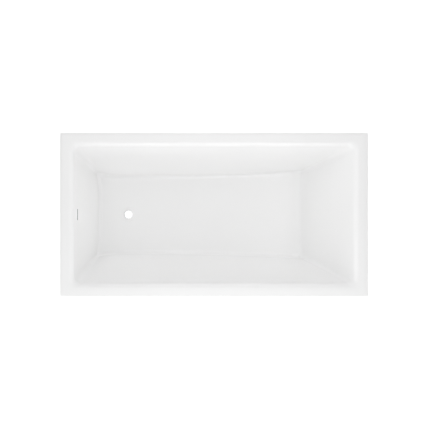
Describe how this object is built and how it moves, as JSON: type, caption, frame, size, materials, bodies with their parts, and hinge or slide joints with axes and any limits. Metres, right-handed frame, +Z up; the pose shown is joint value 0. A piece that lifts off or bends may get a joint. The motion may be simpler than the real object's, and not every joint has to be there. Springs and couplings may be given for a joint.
{
  "type": "freestanding bathtub",
  "caption": "Rectangular free-standing bath with sloping backrest, flat rim, slot overflow, push-to-open waste and a steel frame on levelling feet.",
  "frame": {"origin": "on the ground, below the middle of the bath", "axes": "+X from the drain end towards the backrest, +Y across the bath, +Z up"},
  "size_m": [1.525, 0.81, 0.58],
  "materials": {
    "shell": "glossy white acrylic",
    "skirt": "glossy white acrylic",
    "timber": "sawn softwood",
    "board": "particle board",
    "frame_steel": "galvanised, dull grey",
    "foot_plastic": "moulded black nylon",
    "zinc": "bright zinc plate",
    "screw_steel": "yellow passivated zinc",
    "white_fitting": "gloss white",
    "seal_rubber": "soft black rubber",
    "waste_plastic": "white polypropylene",
    "cap_chrome": "polished chrome plate",
    "latch_brass": "turned brass",
    "spring_steel": "drawn stainless wire",
    "hose_plastic": "corrugated polyethylene"
  },
  "bodies": {
    "bath": {"bath_shell": "shell", "outer_skirt": "skirt", "rim_batten_front": "timber", "rim_batten_back": "timber", "rim_batten_drain_end": "timber", "rim_batten_backrest_end": "timber", "base_board": "board", "long_rail_front": "frame_steel", "long_rail_back": "frame_steel", "cross_rail_1": "frame_steel", "cross_rail_2": "frame_steel", "cross_rail_3": "frame_steel", "frame_post_1": "frame_steel", "frame_post_2": "frame_steel", "frame_post_3": "frame_steel", "frame_post_4": "frame_steel", "frame_post_5": "frame_steel", "frame_post_6": "frame_steel", "rail_end_caps": "foot_plastic", "frame_bolts": "zinc", "frame_nuts": "zinc", "foot_lock_nuts": "zinc", "board_screws": "screw_steel", "post_screws": "screw_steel", "waste_flange": "white_fitting", "waste_top_seal": "seal_rubber", "waste_under_seal": "seal_rubber", "overflow_gasket": "seal_rubber", "hose_seal_upper": "seal_rubber", "hose_seal_lower": "seal_rubber", "waste_body": "waste_plastic", "latch_sleeve": "latch_brass", "latch_spring": "spring_steel", "overflow_trim": "white_fitting", "overflow_housing": "waste_plastic", "overflow_hose": "hose_plastic", "hose_nut_upper": "waste_plastic", "hose_nut_lower": "waste_plastic"},
    "plug": {"plug_cap": "cap_chrome", "plug_seal": "seal_rubber", "plug_stem": "latch_brass"},
    "foot_1": {"foot_pad_1": "foot_plastic", "foot_stem_1": "zinc"},
    "foot_2": {"foot_pad_2": "foot_plastic", "foot_stem_2": "zinc"},
    "foot_3": {"foot_pad_3": "foot_plastic", "foot_stem_3": "zinc"},
    "foot_4": {"foot_pad_4": "foot_plastic", "foot_stem_4": "zinc"},
    "foot_5": {"foot_pad_5": "foot_plastic", "foot_stem_5": "zinc"},
    "foot_6": {"foot_pad_6": "foot_plastic", "foot_stem_6": "zinc"}
  },
  "joints": [
    {"name": "plug_lift", "type": "slide", "parent": "bath", "child": "plug", "axis": [0, 0, 1], "range_m": [0, 0.009], "deforming": ["latch_spring"]},
    {"name": "foot_1_level", "type": "slide", "parent": "bath", "child": "foot_1", "axis": [0, 0, -1], "range_m": [0, 0.02]},
    {"name": "foot_2_level", "type": "slide", "parent": "bath", "child": "foot_2", "axis": [0, 0, -1], "range_m": [0, 0.02]},
    {"name": "foot_3_level", "type": "slide", "parent": "bath", "child": "foot_3", "axis": [0, 0, -1], "range_m": [0, 0.02]},
    {"name": "foot_4_level", "type": "slide", "parent": "bath", "child": "foot_4", "axis": [0, 0, -1], "range_m": [0, 0.02]},
    {"name": "foot_5_level", "type": "slide", "parent": "bath", "child": "foot_5", "axis": [0, 0, -1], "range_m": [0, 0.02]},
    {"name": "foot_6_level", "type": "slide", "parent": "bath", "child": "foot_6", "axis": [0, 0, -1], "range_m": [0, 0.02]}
  ]
}
